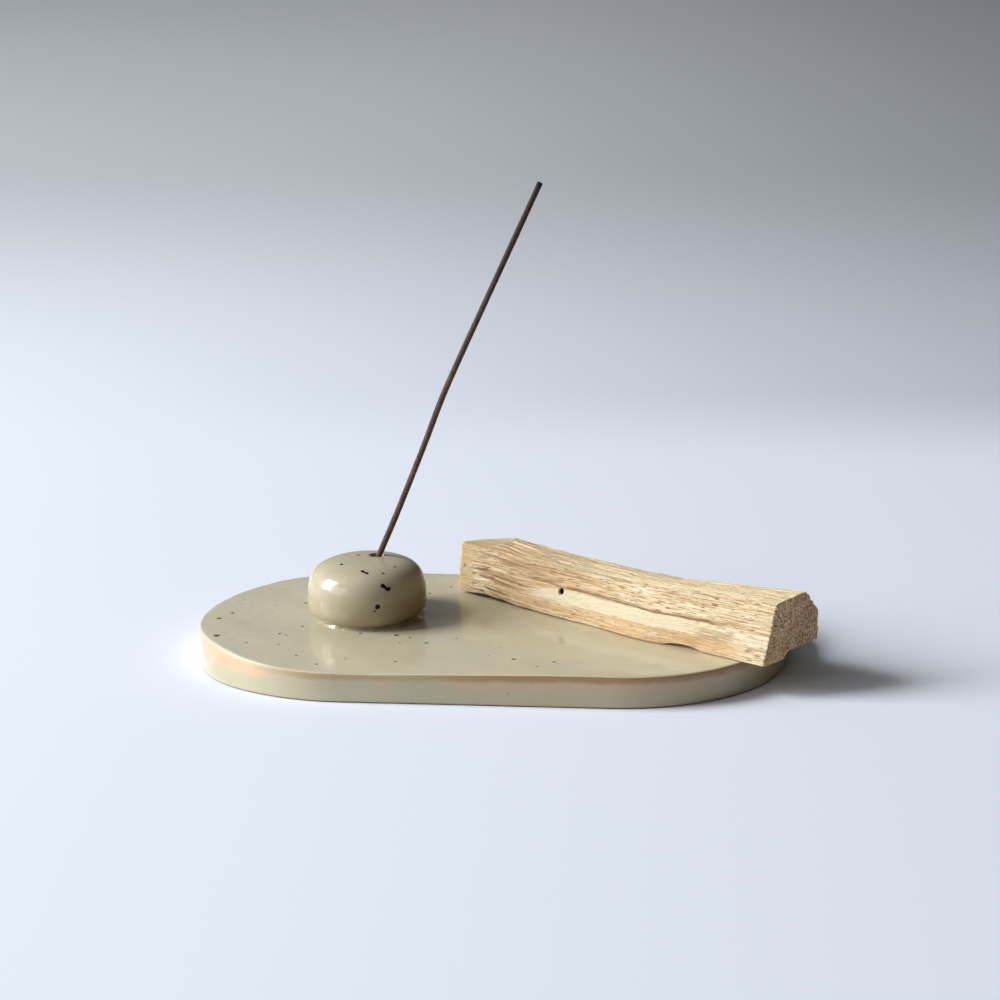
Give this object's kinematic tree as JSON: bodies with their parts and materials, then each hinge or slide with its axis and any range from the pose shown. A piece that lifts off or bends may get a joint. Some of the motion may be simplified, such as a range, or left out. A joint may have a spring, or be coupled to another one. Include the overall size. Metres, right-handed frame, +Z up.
{
  "type": "incense stick holder",
  "caption": "Round-ended glazed stoneware tray with a pebble-shaped holder whose slanted hole carries a leaning incense stick, and a loose split stick of fragrant wood.",
  "frame": {"origin": "centre of the tray's flat underside", "axes": "+X along the tray, towards the end that the wood stick overhangs; +Y across the tray, away from the side the pebble and wood are usually seen from; +Z up"},
  "size_m": [0.1911, 0.1, 0.1445],
  "materials": {
    "glazed_stoneware": "glossy celadon-grey glaze with dark iron specks",
    "pooled_glaze": "glossy pooled glaze",
    "pressed_incense": "matte pressed powder",
    "split_wood": "raw split grain"
  },
  "bodies": {
    "holder": {"tray": "glazed_stoneware", "pebble_holder": "glazed_stoneware", "glaze_fillet": "pooled_glaze"},
    "incense_stick": {"incense_stick": "pressed_incense"},
    "wood_stick": {"wood_stick": "split_wood"}
  },
  "joints": [
    {"name": "stick_pull", "type": "slide", "parent": "holder", "child": "incense_stick", "axis": [0.3843, 0, 0.9232], "range_m": [0, 0.03]},
    {"name": "wood_lift", "type": "slide", "parent": "holder", "child": "wood_stick", "axis": [0, 0, 1], "range_m": [0, 0.05]}
  ]
}
